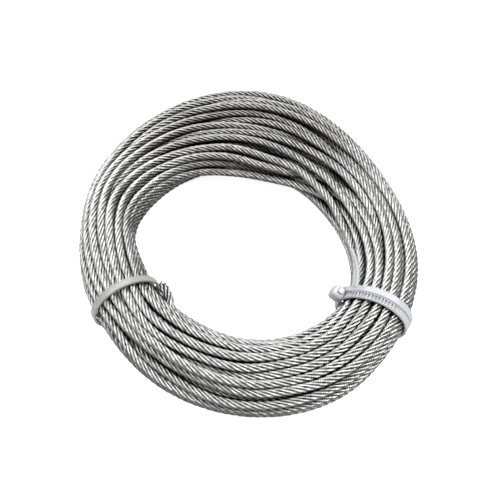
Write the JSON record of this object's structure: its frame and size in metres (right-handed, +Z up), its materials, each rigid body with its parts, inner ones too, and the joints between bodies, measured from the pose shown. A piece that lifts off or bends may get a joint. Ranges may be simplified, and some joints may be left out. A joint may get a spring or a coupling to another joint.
{
  "type": "wire rope coil",
  "caption": "Coil of thin stranded stainless wire rope lying on its side, fanned out at the back and held by two translucent nylon cable ties.",
  "frame": {"origin": "on the floor, under the middle of the coil's box", "axes": "+Z up along the coil's axis, -Y towards the front where the two ties are nearer, +Y towards the fanned out back"},
  "size_m": [0.1203, 0.1384, 0.0274],
  "materials": {
    "stainless_steel": "bright drawn wires twisted into strands",
    "natural_nylon": "translucent moulded nylon"
  },
  "bodies": {
    "root": {"wire_rope": "stainless_steel", "cable_tie_left": "natural_nylon", "cable_tie_right": "natural_nylon"}
  },
  "joints": []
}
